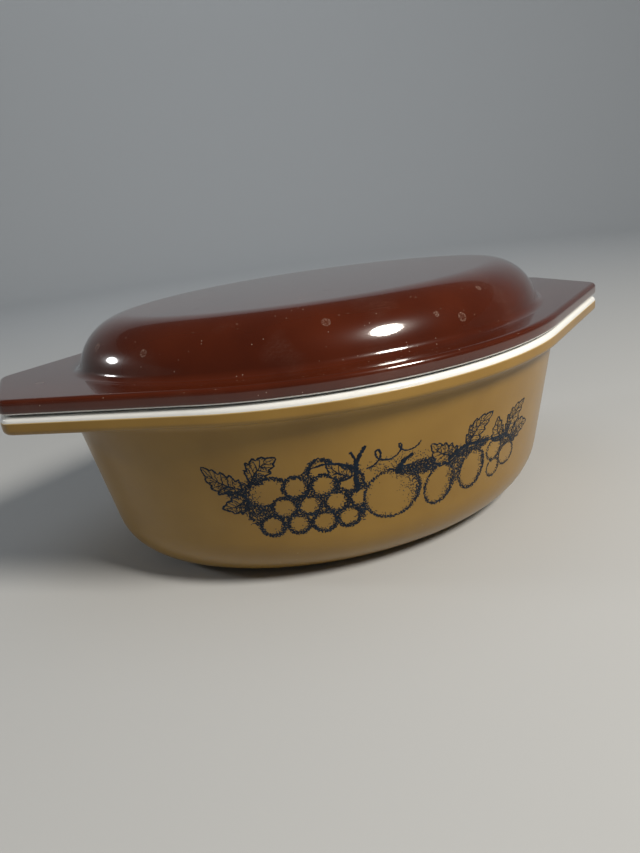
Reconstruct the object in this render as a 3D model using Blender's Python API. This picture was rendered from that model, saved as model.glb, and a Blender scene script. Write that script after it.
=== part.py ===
"""Covered oval casserole: a pressed-glass dish with two tab handles and a lift-off lid.

Run with blender --background --python part.py, or from Blender's text editor.

Metres, +Z up. +X runs along the handles, +Y across, and the origin is the centre of the
plane that the foot stands on. Each piece is one pressed shell: its section is a list of
(inset, height) points, where inset is how far a ring lies inside the rim's oval, and the
rings are lofted round the dish. Only the flange's edge leaves the oval, to make the tabs.
"""

import math

import bpy
import numpy as np

# Plan of the rim, shared by the dish and the lid.
RIM_LENGTH = 0.2800  # the oval flange, without the tabs
RIM_WIDTH = 0.2134
OVAL_DRAW_IN = 0.0035  # how far the rim is drawn in from an ellipse at its four quarters
TAB_REACH = 0.0220  # how far each tab stands past the oval
TAB_END_WIDTH = 0.0624  # the tab's straight end, measured over its corners
TAB_CORNER = 0.0080

# Dish section.
DISH_HEIGHT = 0.0943
DISH_WALL = 0.0048
DISH_FLOOR = 0.0060
DISH_FLANGE = 0.0080  # thickness
FLANGE_OVERHANG = 0.0067  # how far the flange stands past the wall
FLANGE_FILLET = 0.0050  # under the flange
DRAFT = math.radians(10.3)  # lean of the wall
FOOT_CORNER = 0.0310  # radius between the wall and the foot
INNER_CORNER = 0.0255
FOOT_LAND = 0.0080  # width of the ring that the dish stands on
FOOT_RECESS = 0.0008  # how far the middle of the base is raised
FOOT_STEP = 0.0010  # width of the slope up to the recess

# Lid section.
LID_WALL = 0.0048
LID_FLANGE = 0.0074  # thickness
LID_SKIRT = 0.0035  # depth of the locating skirt below the seat
LID_RELIEF = 0.0005  # the flange's underside clears the rim by this much outside the seat
SEAT_MARGIN = 0.0006  # between the edge's rounding and the step down to the seat
DOME_SET_IN = 0.0021  # ledge between the skirt's face and the dome's foot above it
DOME_HEIGHT = 0.0231  # plateau above the flange
DOME_LEAN = math.radians(20.0)
DOME_SHOULDER = 0.0270  # outer radius of the shoulder
DOME_FILLET = 0.0045  # radius where the dome meets the flange

# Edges and fits.
EDGE_ROUND = 0.0022  # rounding of the flanges' outer edges
MOUTH_ROUND = 0.0018  # rounding of the dish's mouth and of the skirt
SKIRT_CLEARANCE = 0.0018  # between the skirt and the dish's wall
SEAT_GAP = 0.0003  # between the lid's seat and the rim
MOST_ROUND = 0.95  # the most of its room that a rounding may take up

# Fineness of the loft.
QUADRANT_STEPS = 18
ARC_STEPS = 7
ROUND_STEPS = 3
TURN_WEIGHT = 0.040  # metres of outline that one radian of turning counts as


class Outline:
    """Plan curves of the rim, as functions of the angle of their outward normal."""

    def __init__(self, angles):
        self.angles = angles
        self.normals = np.stack([np.cos(angles), np.sin(angles)], axis=-1)

    def support(self, inset):
        """Distance from the centre to each tangent line of the oval, and its slope."""
        half_length = RIM_LENGTH / 2 - inset
        half_width = RIM_WIDTH / 2 - inset
        draw_in = OVAL_DRAW_IN * half_width / (RIM_WIDTH / 2)
        cosine, sine = self.normals[:, 0], self.normals[:, 1]
        ellipse = np.hypot(half_length * cosine, half_width * sine)
        distance = ellipse - draw_in * np.sin(2 * self.angles) ** 2
        slope = (half_width**2 - half_length**2) * sine * cosine / ellipse
        slope -= 2 * draw_in * np.sin(4 * self.angles)
        return distance, slope

    def oval(self, inset):
        """The rim's oval, drawn in by inset along both axes."""
        distance, slope = self.support(inset)
        tangents = np.stack([-self.normals[:, 1], self.normals[:, 0]], axis=-1)
        return distance[:, None] * self.normals + slope[:, None] * tangents

    def tabbed(self, inset):
        """The flange's outer edge, inset evenly: the oval, widened to the two tabs."""
        return self.oval(inset) + self.tab_width(inset)[:, None] * self.normals

    def tab_width(self, inset):
        """How far the flange's edge lies outside the oval, along the oval's normals."""
        corner = tab_corner_centre()
        radius = TAB_CORNER - inset
        side_angle = tab_side_angle()
        side_normal = np.array([math.cos(side_angle), math.sin(side_angle)])
        side_along = np.array([-side_normal[1], side_normal[0]])

        folded = np.abs(self.oval(inset))
        normals = np.abs(self.normals)
        towards_tab = np.maximum(normals[:, 0], 1e-9)
        to_end = (corner[0] + radius - folded[:, 0]) / towards_tab
        to_side = (corner @ side_normal + radius - folded @ side_normal) / (normals @ side_normal)
        from_corner = folded - corner
        along = (from_corner * normals).sum(axis=1)
        off_circle = (from_corner**2).sum(axis=1) - radius**2
        to_arc = -along + np.sqrt(np.maximum(along**2 - off_circle, 0))

        on_end = (folded + to_end[:, None] * normals)[:, 1] <= corner[1]
        on_side = (folded + to_side[:, None] * normals - corner) @ side_along >= 0
        width = np.where(on_end, to_end, np.where(on_side, to_side, to_arc))
        is_tab = normals[:, 1] < side_normal[1]
        return np.where(is_tab, np.maximum(width, 0), 0)


def tab_corner_centre():
    """Centre of the rounded corner at +X +Y."""
    tab_end = RIM_LENGTH / 2 + TAB_REACH
    return np.array([tab_end - TAB_CORNER, TAB_END_WIDTH / 2 - TAB_CORNER])


def tab_side_angle():
    """Angle of the normal of the straight line that touches both the tab's corner and the oval."""
    corner = tab_corner_centre()

    def oval_outside_line(angle):
        distance, _ = Outline(np.array([angle])).support(0)
        return distance[0] - TAB_CORNER - corner @ [math.cos(angle), math.sin(angle)]

    low, high = 0.0, math.pi / 2
    for _ in range(60):
        middle = (low + high) / 2
        if oval_outside_line(middle) < 0:
            low = middle
        else:
            high = middle
    return high


def spread_angles():
    """Normal angles round the outline, closer together where it is curved or reaches far out."""
    fine = np.linspace(0, math.pi / 2, 4001)
    edge = Outline(fine).tabbed(0)
    legs = np.diff(edge, axis=0)
    headings = np.unwrap(np.arctan2(legs[:, 1], legs[:, 0]))
    turning = np.abs(np.gradient(headings))
    weight = np.hypot(legs[:, 0], legs[:, 1]) + TURN_WEIGHT * turning
    travelled = np.concatenate([[0], np.cumsum(weight)])
    steps = np.linspace(0, travelled[-1], QUADRANT_STEPS + 1)
    quadrant = np.interp(steps, travelled, fine)
    return np.concatenate([
        quadrant[:-1],
        math.pi - quadrant[:0:-1],
        math.pi + quadrant[:-1],
        2 * math.pi - quadrant[:0:-1],
    ])


def arc(centre, radius, start, end, steps):
    """Points (inset, height) on an arc. An angle of 0 points inwards, and 90 degrees up."""
    angles = np.linspace(start, end, steps + 1)
    return [
        (centre[0] + radius * math.cos(angle), centre[1] + radius * math.sin(angle))
        for angle in angles
    ]


def edge_round(inset, height, radius, start, end):
    """Rounding of a right-angled corner, whose arc is centred at (inset, height)."""
    return arc((inset, height), radius, math.radians(start), math.radians(end), ROUND_STEPS)


def wall_inset(height, thickness=0.0):
    """Inset of the dish's wall at a height: its outer face, or the face this far inside it."""
    root = DISH_HEIGHT - DISH_FLANGE
    outer = FLANGE_OVERHANG + (root - height) * math.tan(DRAFT)
    return outer + thickness / math.cos(DRAFT)


def foot_corner(radius, floor, thickness):
    """Arc between a floor and the dish's wall, from the floor up."""
    height = floor + radius
    centre = (wall_inset(height, thickness + radius), height)
    return arc(centre, radius, -math.pi / 2, DRAFT - math.pi, ARC_STEPS)


def under_flange_fillet():
    """Hollow arc from the dish's wall out to the flange's underside."""
    room = (FLANGE_OVERHANG - EDGE_ROUND) * math.cos(DRAFT) / (1 - math.sin(DRAFT))
    radius = min(FLANGE_FILLET, MOST_ROUND * room)
    height = DISH_HEIGHT - DISH_FLANGE - radius
    centre = (wall_inset(height, -radius), height)
    return arc(centre, radius, DRAFT, math.pi / 2, ROUND_STEPS)


def mouth_inset():
    """Inset of the dish's inner wall where it meets the rim."""
    return wall_inset(DISH_HEIGHT - MOUTH_ROUND, DISH_WALL)


def flange_edge(bottom, top):
    """The outer edge of a flange, from its underside to its top, as points for tabbed rings."""
    radius = min(EDGE_ROUND, MOST_ROUND * (top - bottom) / 2)
    under = edge_round(radius, bottom + radius, radius, 270, 180)
    over = edge_round(radius, top - radius, radius, 180, 90)
    return under + over


def dish_sections():
    """Sections of the dish, from the middle of its base round the rim to its floor inside."""
    foot = foot_corner(FOOT_CORNER, 0.0, 0.0)
    land_inner = foot[0][0] + FOOT_LAND
    mouth = mouth_inset()
    outside = [
        (land_inner + FOOT_STEP, FOOT_RECESS),
        (land_inner, 0.0),
        *foot,
        *under_flange_fillet(),
    ]
    edge = flange_edge(DISH_HEIGHT - DISH_FLANGE, DISH_HEIGHT)
    rounded = edge_round(mouth - MOUTH_ROUND, DISH_HEIGHT - MOUTH_ROUND, MOUTH_ROUND, 90, 0)
    inside = rounded + foot_corner(INNER_CORNER, DISH_FLOOR, DISH_WALL)[::-1]
    return outside, edge, inside


def dome_shell(thickness, foot_inset, plateau):
    """Shoulder of the dome, from its straight side to its plateau: outside, or this far inside."""
    room = DOME_HEIGHT / (1 - math.sin(DOME_LEAN)) - DOME_FILLET
    radius = min(DOME_SHOULDER, MOST_ROUND * room) - thickness
    height = plateau - thickness - radius
    side = foot_inset + height * math.tan(DOME_LEAN) + (thickness + radius) / math.cos(DOME_LEAN)
    return arc((side, height), radius, math.pi - DOME_LEAN, math.pi / 2, ARC_STEPS)


def dome_fillet(foot_inset, flange_top):
    """Hollow arc from the flange's top up to the dome's side."""
    height = flange_top + DOME_FILLET
    along_side = foot_inset + height * math.tan(DOME_LEAN)
    centre = (along_side - DOME_FILLET / math.cos(DOME_LEAN), height)
    return arc(centre, DOME_FILLET, -math.pi / 2, -DOME_LEAN, ROUND_STEPS)


def lid_sections():
    """Sections of the lid above its seat, from the cavity's ceiling round its edge to the plateau."""
    skirt_outer = mouth_inset() + SKIRT_CLEARANCE
    dome_foot = skirt_outer + DOME_SET_IN - LID_FLANGE * math.tan(DOME_LEAN)
    plateau = LID_FLANGE + DOME_HEIGHT
    cavity = dome_shell(LID_WALL, dome_foot, plateau)
    skirt_inner = dome_foot + LID_WALL / math.cos(DOME_LEAN)
    seat_outer = EDGE_ROUND + SEAT_MARGIN + LID_RELIEF
    toe = -LID_SKIRT + MOUTH_ROUND
    inside = [
        *cavity[::-1],
        (skirt_inner, 0.0),
        *edge_round(skirt_inner - MOUTH_ROUND, toe, MOUTH_ROUND, 0, -90),
        *edge_round(skirt_outer + MOUTH_ROUND, toe, MOUTH_ROUND, 270, 180),
        (skirt_outer, 0.0),
        (seat_outer, 0.0),
        (seat_outer - LID_RELIEF, LID_RELIEF),
    ]
    edge = flange_edge(LID_RELIEF, LID_FLANGE)
    outside = dome_fillet(dome_foot, LID_FLANGE) + dome_shell(0.0, dome_foot, plateau)
    return inside, edge, outside


def loft(name, before, edge, after, outline, colour, roughness):
    """One closed shell from its rings: ovals, then the tabbed edge, then ovals again."""
    rings = [(outline.oval(inset), height) for inset, height in before]
    rings += [(outline.tabbed(inset), height) for inset, height in edge]
    rings += [(outline.oval(inset), height) for inset, height in after]
    around = len(outline.angles)
    points = np.concatenate([
        np.column_stack([plan, np.full(around, height)]) for plan, height in rings
    ])
    quads = [
        (ring * around + i, ring * around + (i + 1) % around,
         (ring + 1) * around + (i + 1) % around, (ring + 1) * around + i)
        for ring in range(len(rings) - 1)
        for i in range(around)
    ]
    first_cap = tuple(range(around))[::-1]
    last_cap = tuple(range(len(points) - around, len(points)))
    mesh = bpy.data.meshes.new(name)
    mesh.from_pydata(points.tolist(), [], [first_cap, *quads, last_cap])
    mesh.shade_smooth()
    mesh.set_sharp_from_angle(angle=math.radians(35))
    mesh.materials.append(enamelled_glass(name, colour, roughness))
    return bpy.data.objects.new(name, mesh)


def enamelled_glass(name, colour, roughness):
    """Opaque pressed glass under a glossy fired enamel."""
    material = bpy.data.materials.new(name + "_enamel")
    material.use_nodes = True
    shader = material.node_tree.nodes["Principled BSDF"]
    shader.inputs["Base Color"].default_value = (*colour, 1.0)
    shader.inputs["Roughness"].default_value = roughness
    shader.inputs["Metallic"].default_value = 0.0
    return material


def clear_scene():
    for obj in list(bpy.data.objects):
        bpy.data.objects.remove(obj, do_unlink=True)


def main():
    clear_scene()
    collection = bpy.data.collections.new("covered_casserole")
    bpy.context.scene.collection.children.link(collection)
    outline = Outline(spread_angles())

    dish = loft("dish", *dish_sections(), outline, colour=(0.50, 0.27, 0.07), roughness=0.18)
    collection.objects.link(dish)

    lid = loft("lid", *lid_sections(), outline, colour=(0.075, 0.018, 0.009), roughness=0.12)
    collection.objects.link(lid)
    lid.parent = dish
    lid.location = (0.0, 0.0, DISH_HEIGHT + SEAT_GAP)


main()
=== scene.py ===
"""Covered oval casserole: pressed opal glass under fired enamel, with a stippled fruit print.

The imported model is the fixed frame. Every visible piece is a surface worked out on a numpy
grid, in metres and in the frame's axes: +X along the handles, +Y across, +Z up from the foot.
"""

import logging
import math
from dataclasses import dataclass, field
from enum import Enum

import bpy
import numpy as np
from mathutils import Matrix, Quaternion, Vector


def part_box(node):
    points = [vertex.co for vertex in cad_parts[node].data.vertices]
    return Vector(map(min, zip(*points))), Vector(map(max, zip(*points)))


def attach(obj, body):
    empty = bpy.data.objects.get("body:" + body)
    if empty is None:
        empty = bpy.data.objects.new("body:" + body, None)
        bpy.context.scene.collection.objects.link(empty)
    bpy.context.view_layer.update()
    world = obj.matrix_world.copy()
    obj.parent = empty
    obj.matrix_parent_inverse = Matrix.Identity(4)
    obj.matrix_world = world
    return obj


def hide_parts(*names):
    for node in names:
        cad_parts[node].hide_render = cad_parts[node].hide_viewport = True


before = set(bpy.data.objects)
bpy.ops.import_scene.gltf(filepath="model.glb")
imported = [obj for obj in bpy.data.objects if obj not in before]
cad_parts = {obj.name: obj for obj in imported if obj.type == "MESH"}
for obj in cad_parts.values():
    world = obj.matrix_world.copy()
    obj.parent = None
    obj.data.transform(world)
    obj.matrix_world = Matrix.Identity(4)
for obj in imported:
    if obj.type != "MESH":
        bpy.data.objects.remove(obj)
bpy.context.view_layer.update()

LOG = logging.getLogger("casserole")
MM = 0.001
AROUND = 384  # points round every ring
FINE_STEPS = 24000  # steps round the plan where a length is measured along it


class Ends(Enum):
    """How a lofted grid is closed."""

    POLES = "poles"  # a point in the middle of the first ring and of the last
    LOOP = "loop"  # the last ring joins the first


class Side(Enum):
    """The two long sides of the dish that carry the print, as turns about +Z."""

    FRONT = 0.0
    BACK = math.pi


# ---------------------------------------------------------------- sections and meshes


def rows(inset: np.ndarray, height: np.ndarray, reach: float = 0.0,
         shrink: float = 1.0) -> np.ndarray:
    """Stacks the rings of a section, one row each.

    Args:
        inset: how far each ring lies inside the rim's oval.
        height: height of each ring.
        reach: 1 where the ring follows the tabs, 0 where it is a plain oval.
        shrink: factor that draws the ring in towards the middle.

    Returns:
        An array of (inset, height, reach, shrink) rows.
    """
    return np.column_stack(np.broadcast_arrays(*np.atleast_1d(inset, height, reach, shrink)))


def arc(centre: tuple[float, float], radius: float, start: float, end: float, steps: int,
        reach: float = 0.0) -> np.ndarray:
    """Rings on a circular arc of the section: centre + radius * (cos, sin) of an even angle.

    Args:
        centre: (inset, height) of the arc's centre.
        radius: radius of the arc.
        start: first angle in degrees; 0 points inwards and 90 up.
        end: last angle in degrees.
        steps: number of steps from start to end.
        reach: 1 for rings that follow the tabs.

    Returns:
        The rows of the arc.
    """
    angles = np.radians(np.linspace(start, end, steps + 1))
    return rows(centre[0] + radius * np.cos(angles), centre[1] + radius * np.sin(angles), reach)


def joined(*parts: np.ndarray | int) -> np.ndarray:
    """Puts the parts of a section in line.

    A whole number between two parts is a straight run of that many steps, spaced as
    (1 - cos) / 2 so that rings gather at both of its ends and keep the shading crisp there.

    Args:
        parts: rows, or the steps of the straight run between its neighbours.

    Returns:
        The rows of the whole section.
    """
    found = []
    for index, part in enumerate(parts):
        if isinstance(part, int):
            share = (1 - np.cos(np.pi * np.arange(1, part) / part)) / 2
            first, last = parts[index - 1][-1], parts[index + 1][0]
            found.append(first + (last - first) * share[:, None])
        else:
            found.append(part)
    return np.concatenate(found)


def ease(value: np.ndarray) -> np.ndarray:
    """Quarter-circle ease from 0 to 1, as the edge of a liquid film rises."""
    held = np.clip(value, 0.0, 1.0)
    return np.sqrt(1 - (1 - held) ** 2)


def build_mesh(name: str, points: np.ndarray, faces: list[np.ndarray],
               attributes: dict[str, np.ndarray] | None = None) -> bpy.types.Object:
    """Makes a smooth-shaded mesh object from whole arrays.

    Args:
        name: name of the object and its mesh.
        points: (n, 3) array of places.
        faces: integer arrays, each of shape (faces, corners).
        attributes: a float for each point, by name, for the materials to read.

    Returns:
        The object, linked to the scene, at the origin.
    """
    mesh = bpy.data.meshes.new(name)
    corners = np.concatenate([group.ravel() for group in faces]).astype(np.int32)
    sides = np.concatenate([np.full(len(group), group.shape[1]) for group in faces])
    mesh.vertices.add(len(points))
    mesh.vertices.foreach_set("co", np.ascontiguousarray(points, np.float32).ravel())
    mesh.loops.add(len(corners))
    mesh.loops.foreach_set("vertex_index", corners)
    mesh.polygons.add(len(sides))
    mesh.polygons.foreach_set("loop_start", (np.cumsum(sides) - sides).astype(np.int32))
    mesh.update(calc_edges=True)
    mesh.validate()
    mesh.shade_smooth()
    for key, values in (attributes or {}).items():
        layer = mesh.attributes.new(key, "FLOAT", "POINT")
        layer.data.foreach_set("value", np.ascontiguousarray(values, np.float32).ravel())
    piece = bpy.data.objects.new(name, mesh)
    bpy.context.scene.collection.objects.link(piece)
    return piece


def loft(name: str, grid: np.ndarray, ends: Ends,
         attributes: dict[str, np.ndarray] | None = None) -> bpy.types.Object:
    """Skins a grid of rings with quads, closed round each ring and at its two ends.

    Args:
        name: name of the object.
        grid: (rings, around, 3) array; rings run anticlockwise seen from above.
        ends: how the first and last rings are closed.
        attributes: (rings, around) arrays, by name.

    Returns:
        The object.
    """
    rings, around = grid.shape[:2]
    index = np.arange(rings * around).reshape(rings, around)
    ahead = np.roll(index, -1, axis=1)
    if ends is Ends.LOOP:
        upper, upper_ahead = np.roll(index, -1, axis=0), np.roll(ahead, -1, axis=0)
        lower, lower_ahead = index, ahead
    else:
        upper, upper_ahead = index[1:], ahead[1:]
        lower, lower_ahead = index[:-1], ahead[:-1]
    faces = [np.stack([lower, lower_ahead, upper_ahead, upper], axis=-1).reshape(-1, 4)]
    points = grid.reshape(-1, 3)
    layers = attributes or {}
    values = {key: layer.ravel() for key, layer in layers.items()}
    if ends is Ends.POLES:
        poles = grid[[0, -1]].mean(axis=1)
        first, last = len(points), len(points) + 1
        faces.append(np.stack([np.full(around, first), ahead[0], index[0]], axis=-1))
        faces.append(np.stack([np.full(around, last), index[-1], ahead[-1]], axis=-1))
        points = np.concatenate([points, poles])
        values = {key: np.append(values[key], layer[[0, -1]].mean(axis=1))
                  for key, layer in layers.items()}
    return build_mesh(name, points, faces, values)


@dataclass(frozen=True)
class RimPlan:
    """Plan of the rim that the dish and the lid share.

    The oval is given by its support: the distance from the centre to the tangent line whose
    normal has angle a is hypot(L cos a, W sin a) - draw_in sin(2a)^2, and its slope with the
    angle carries the point along that line. The tabs are added along the same normals.
    """

    half_length: float  # of the oval, without the tabs
    half_width: float
    tab_reach: float
    draw_in: float = 3.5 * MM
    tab_half_width: float = 31.2 * MM
    tab_corner: float = 8.0 * MM
    edge_round: float = 2.2 * MM

    @classmethod
    def inside(cls, low: Vector, high: Vector, tab_reach: float = 22.0 * MM) -> "RimPlan":
        """Fits the plan to the dish's box.

        Args:
            low: lowest corner of the dish.
            high: highest corner of the dish.
            tab_reach: how far each tab stands past the oval.

        Returns:
            The plan.
        """
        return cls((high.x - low.x) / 2 - tab_reach, (high.y - low.y) / 2, tab_reach)

    def oval(self, inset: np.ndarray, angle: np.ndarray) -> np.ndarray:
        """Points of the oval, drawn in along both axes.

        Args:
            inset: how far inside the rim's oval.
            angle: angle of the outward normal; broadcast against inset.

        Returns:
            An array with a last axis of (x, y).
        """
        inset, angle = np.broadcast_arrays(inset, angle)
        length, width = self.half_length - inset, self.half_width - inset
        draw_in = self.draw_in * width / self.half_width
        cosine, sine = np.cos(angle), np.sin(angle)
        ellipse = np.hypot(length * cosine, width * sine)
        distance = ellipse - draw_in * np.sin(2 * angle) ** 2
        slope = (width**2 - length**2) * sine * cosine / ellipse
        slope = slope - 2 * draw_in * np.sin(4 * angle)
        return np.stack([distance * cosine - slope * sine, distance * sine + slope * cosine], -1)

    def side_angle(self) -> float:
        """Finds the line that touches the tab's corner and the oval.

        It is the angle up to which the oval's support reaches past the corner's.

        Returns:
            The angle of the line's normal.
        """
        angle = np.linspace(0.2, math.pi / 2, FINE_STEPS // 6 + 1)
        normal = np.stack([np.cos(angle), np.sin(angle)], -1)
        oval = (self.oval(0.0, angle) * normal).sum(-1)
        line = normal @ self.corner() + self.tab_corner
        return float(angle[np.argmax(oval >= line)])

    def corner(self) -> np.ndarray:
        """Centre of the tab's rounded corner at +X +Y."""
        end = self.half_length + self.tab_reach
        return np.array([end - self.tab_corner, self.tab_half_width - self.tab_corner])

    def tab_width(self, inset: np.ndarray, angle: np.ndarray) -> np.ndarray:
        """How far the tabs' edge lies outside the oval, along its normals.

        The edge is a straight end, a rounded corner and a straight side that runs out on to
        the oval; the width is the ray's way to whichever of the three it meets.

        Args:
            inset: even inset of the tabs' edge.
            angle: angle of the outward normal.

        Returns:
            The width at each point, zero away from the tabs.
        """
        inset, angle = np.broadcast_arrays(inset, angle)
        corner, side = self.corner(), self.side_angle()
        radius = self.tab_corner - inset
        side_normal = np.array([math.cos(side), math.sin(side)])
        side_along = np.array([-side_normal[1], side_normal[0]])
        folded = np.abs(self.oval(inset, angle))
        normal = np.abs(np.stack([np.cos(angle), np.sin(angle)], -1))
        to_end = (corner[0] + radius - folded[..., 0]) / np.maximum(normal[..., 0], 1e-9)
        to_side = (corner @ side_normal + radius - folded @ side_normal) / (normal @ side_normal)
        offset = folded - corner
        along = (offset * normal).sum(-1)
        to_arc = np.sqrt(np.maximum(along**2 - (offset**2).sum(-1) + radius**2, 0)) - along
        on_end = (folded + to_end[..., None] * normal)[..., 1] <= corner[1]
        on_side = (folded + to_side[..., None] * normal - corner) @ side_along >= 0
        width = np.where(on_end, to_end, np.where(on_side, to_side, to_arc))
        return np.where(normal[..., 1] < side_normal[1], np.maximum(width, 0), 0)

    def rings(self, section: np.ndarray, angle: np.ndarray) -> np.ndarray:
        """Places of a section carried round the plan.

        Args:
            section: (..., 4) rows of inset, height, reach and shrink.
            angle: angles of the normals; broadcast against the rows.

        Returns:
            A (..., 3) array of places.
        """
        inset, height, reach, shrink = np.moveaxis(section, -1, 0)
        normal = np.stack([np.cos(angle), np.sin(angle)], -1)
        flat = self.oval(inset, angle)
        tab = self.tab_width(np.clip(inset, 0, self.edge_round), angle)
        flat = (flat + (reach * tab)[..., None] * normal) * shrink[..., None]
        return np.concatenate([flat, np.broadcast_to(height, flat.shape[:-1])[..., None]], -1)

    def angles(self, turn_weight: float = 30.0 * MM) -> np.ndarray:
        """Normal angles spread round the rim by the way travelled plus the turning there.

        Args:
            turn_weight: length that one radian of turning counts as.

        Returns:
            AROUND angles from 0.
        """
        fine = np.linspace(0, 2 * math.pi, FINE_STEPS + 1)
        edge = self.oval(0.0, fine)
        edge += self.tab_width(0.0, fine)[:, None] * np.stack([np.cos(fine), np.sin(fine)], -1)
        legs = np.diff(edge, axis=0)
        heading = np.unwrap(np.arctan2(legs[:, 1], legs[:, 0]))
        way = np.hypot(*legs.T) + turn_weight * np.abs(np.gradient(heading))
        travelled = np.concatenate([[0], np.cumsum(way)])
        return np.interp(np.linspace(0, travelled[-1], AROUND + 1)[:-1], travelled, fine)


@dataclass
class Section:
    """A section that can be read at any way along it, for a film that lies on it."""

    plan: RimPlan
    section: np.ndarray
    lead: float = 8.0  # film thicknesses from its edge to its full thickness
    rise: float = 3.0  # film thicknesses over which its face rises
    back: float = 1.6  # depth of its back, in beds
    edge_rings: int = 7
    way: np.ndarray = field(init=False)

    def __post_init__(self) -> None:
        """Measures the way along the section: hypot of the steps inwards and upwards."""
        inset, height, reach, shrink = self.section.T
        inward = inset + (1 - shrink) * self.plan.half_width - reach * self.plan.tab_reach / 2
        steps = np.hypot(np.diff(inward), np.diff(height))
        self.way = np.concatenate([[0], np.cumsum(steps)])

    def way_at(self, height: float, first: float = 0.0) -> float:
        """Way along the section to where it first passes a height.

        Args:
            height: the height looked for.
            first: way from which to look.

        Returns:
            The way.
        """
        beyond = np.flatnonzero((self.way > first) & (self.section[:, 1] >= height))[0]
        span = self.section[beyond - 1: beyond + 1, 1]
        return float(np.interp(height, span, self.way[beyond - 1: beyond + 1]))

    def film(self, start: np.ndarray, end: float, angle: np.ndarray, thickness: float,
             bed: float, closing: bool) -> tuple[np.ndarray, np.ndarray]:
        """A thin shell on the section: its face stands off along the surface's normals.

        The rings follow the section's own rings. The film's face rises from its edge as a
        quarter circle, and its back lies a little inside the glass.

        Args:
            start: way to the film's edge at each angle.
            end: way to the film's other edge, or to the middle.
            angle: angles of the normals.
            thickness: thickness of the film.
            bed: how deep its back lies in the glass.
            closing: True if the other end is an edge as well.

        Returns:
            The grid of the whole shell and how full the film is at each point, 0 to 1.
        """
        lead = self.lead * thickness
        edge = lead * np.linspace(0, 1, self.edge_rings) ** 1.5
        mean = float(start.mean())
        inner = self.way[(self.way > mean + lead) & (self.way < end - (lead if closing else 0))]
        tail = end - edge[::-1] if closing else np.array([end])
        stops = np.concatenate([mean + edge, inner, tail])
        share = (stops - mean) / (end - mean)
        way = start + (end - start) * share[:, None]
        section = np.stack([np.interp(way, self.way, column) for column in self.section.T], -1)
        base = self.plan.rings(section, angle)
        around = np.roll(base, -1, axis=1) - np.roll(base, 1, axis=1)
        normal = np.cross(around, np.gradient(base, axis=0))
        normal /= np.linalg.norm(normal, axis=-1, keepdims=True)
        from_edge = way - start
        if closing:
            from_edge = np.minimum(from_edge, end - way)
        fullness = ease(from_edge / (self.rise * thickness))
        face = base + normal * (fullness * (thickness + bed) - bed)[..., None]
        back = base - normal * (bed * self.back)
        full = np.clip(from_edge / lead, 0, 1)
        if closing:
            return np.concatenate([face, back[::-1]]), np.concatenate([full, full[::-1]])
        return np.concatenate([back[::-1], face]), np.concatenate([full[::-1], full])


def wavering(angle: np.ndarray, size: float, seed: int) -> np.ndarray:
    """A hand-masked edge's wander: a few sines of whole turns round the rim.

    Args:
        angle: angles round the rim.
        size: rough size of the wander.
        seed: seed of the phases.

    Returns:
        The wander at each angle.
    """
    rng = np.random.default_rng(seed)
    turns = np.array([3, 5, 8, 13, 21, 34])
    phases = rng.uniform(0, 2 * math.pi, len(turns))
    waves = np.sin(turns * angle[:, None] + phases) / np.sqrt(turns)
    return size * waves.sum(axis=1)


# ---------------------------------------------------------------- finishes


def linear(colour: str) -> tuple[float, float, float, float]:
    """Turns an sRGB hex colour into linear RGBA.

    Args:
        colour: such as "#AA8145".

    Returns:
        Red, green, blue and an alpha of 1.
    """
    values = [int(colour[i: i + 2], 16) / 255 for i in (1, 3, 5)]
    red, green, blue = [v / 12.92 if v <= 0.04045 else ((v + 0.055) / 1.055) ** 2.4
                        for v in values]
    return red, green, blue, 1.0


def add_node(tree: bpy.types.NodeTree, kind: str, inputs: dict | None = None,
             **settings: object) -> bpy.types.Node:
    """Adds a node with its settings, values and links.

    Args:
        tree: the material's tree.
        kind: the node's type.
        inputs: by socket name or number: a value to set, or an output socket to link from.
        settings: the node's own properties.

    Returns:
        The node.
    """
    node = tree.nodes.new(kind)
    for name, value in settings.items():
        setattr(node, name, value)
    for socket, value in (inputs or {}).items():
        if isinstance(value, bpy.types.NodeSocket):
            tree.links.new(value, node.inputs[socket])
        else:
            node.inputs[socket].default_value = value
    return node


def new_material(name: str) -> tuple[bpy.types.Material, bpy.types.NodeTree, bpy.types.Node]:
    """Makes a material with a bare Principled shader.

    Args:
        name: the material's name.

    Returns:
        The material, its tree and its shader node.
    """
    material = bpy.data.materials.new(name)
    material.use_nodes = True
    return material, material.node_tree, material.node_tree.nodes["Principled BSDF"]


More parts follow.
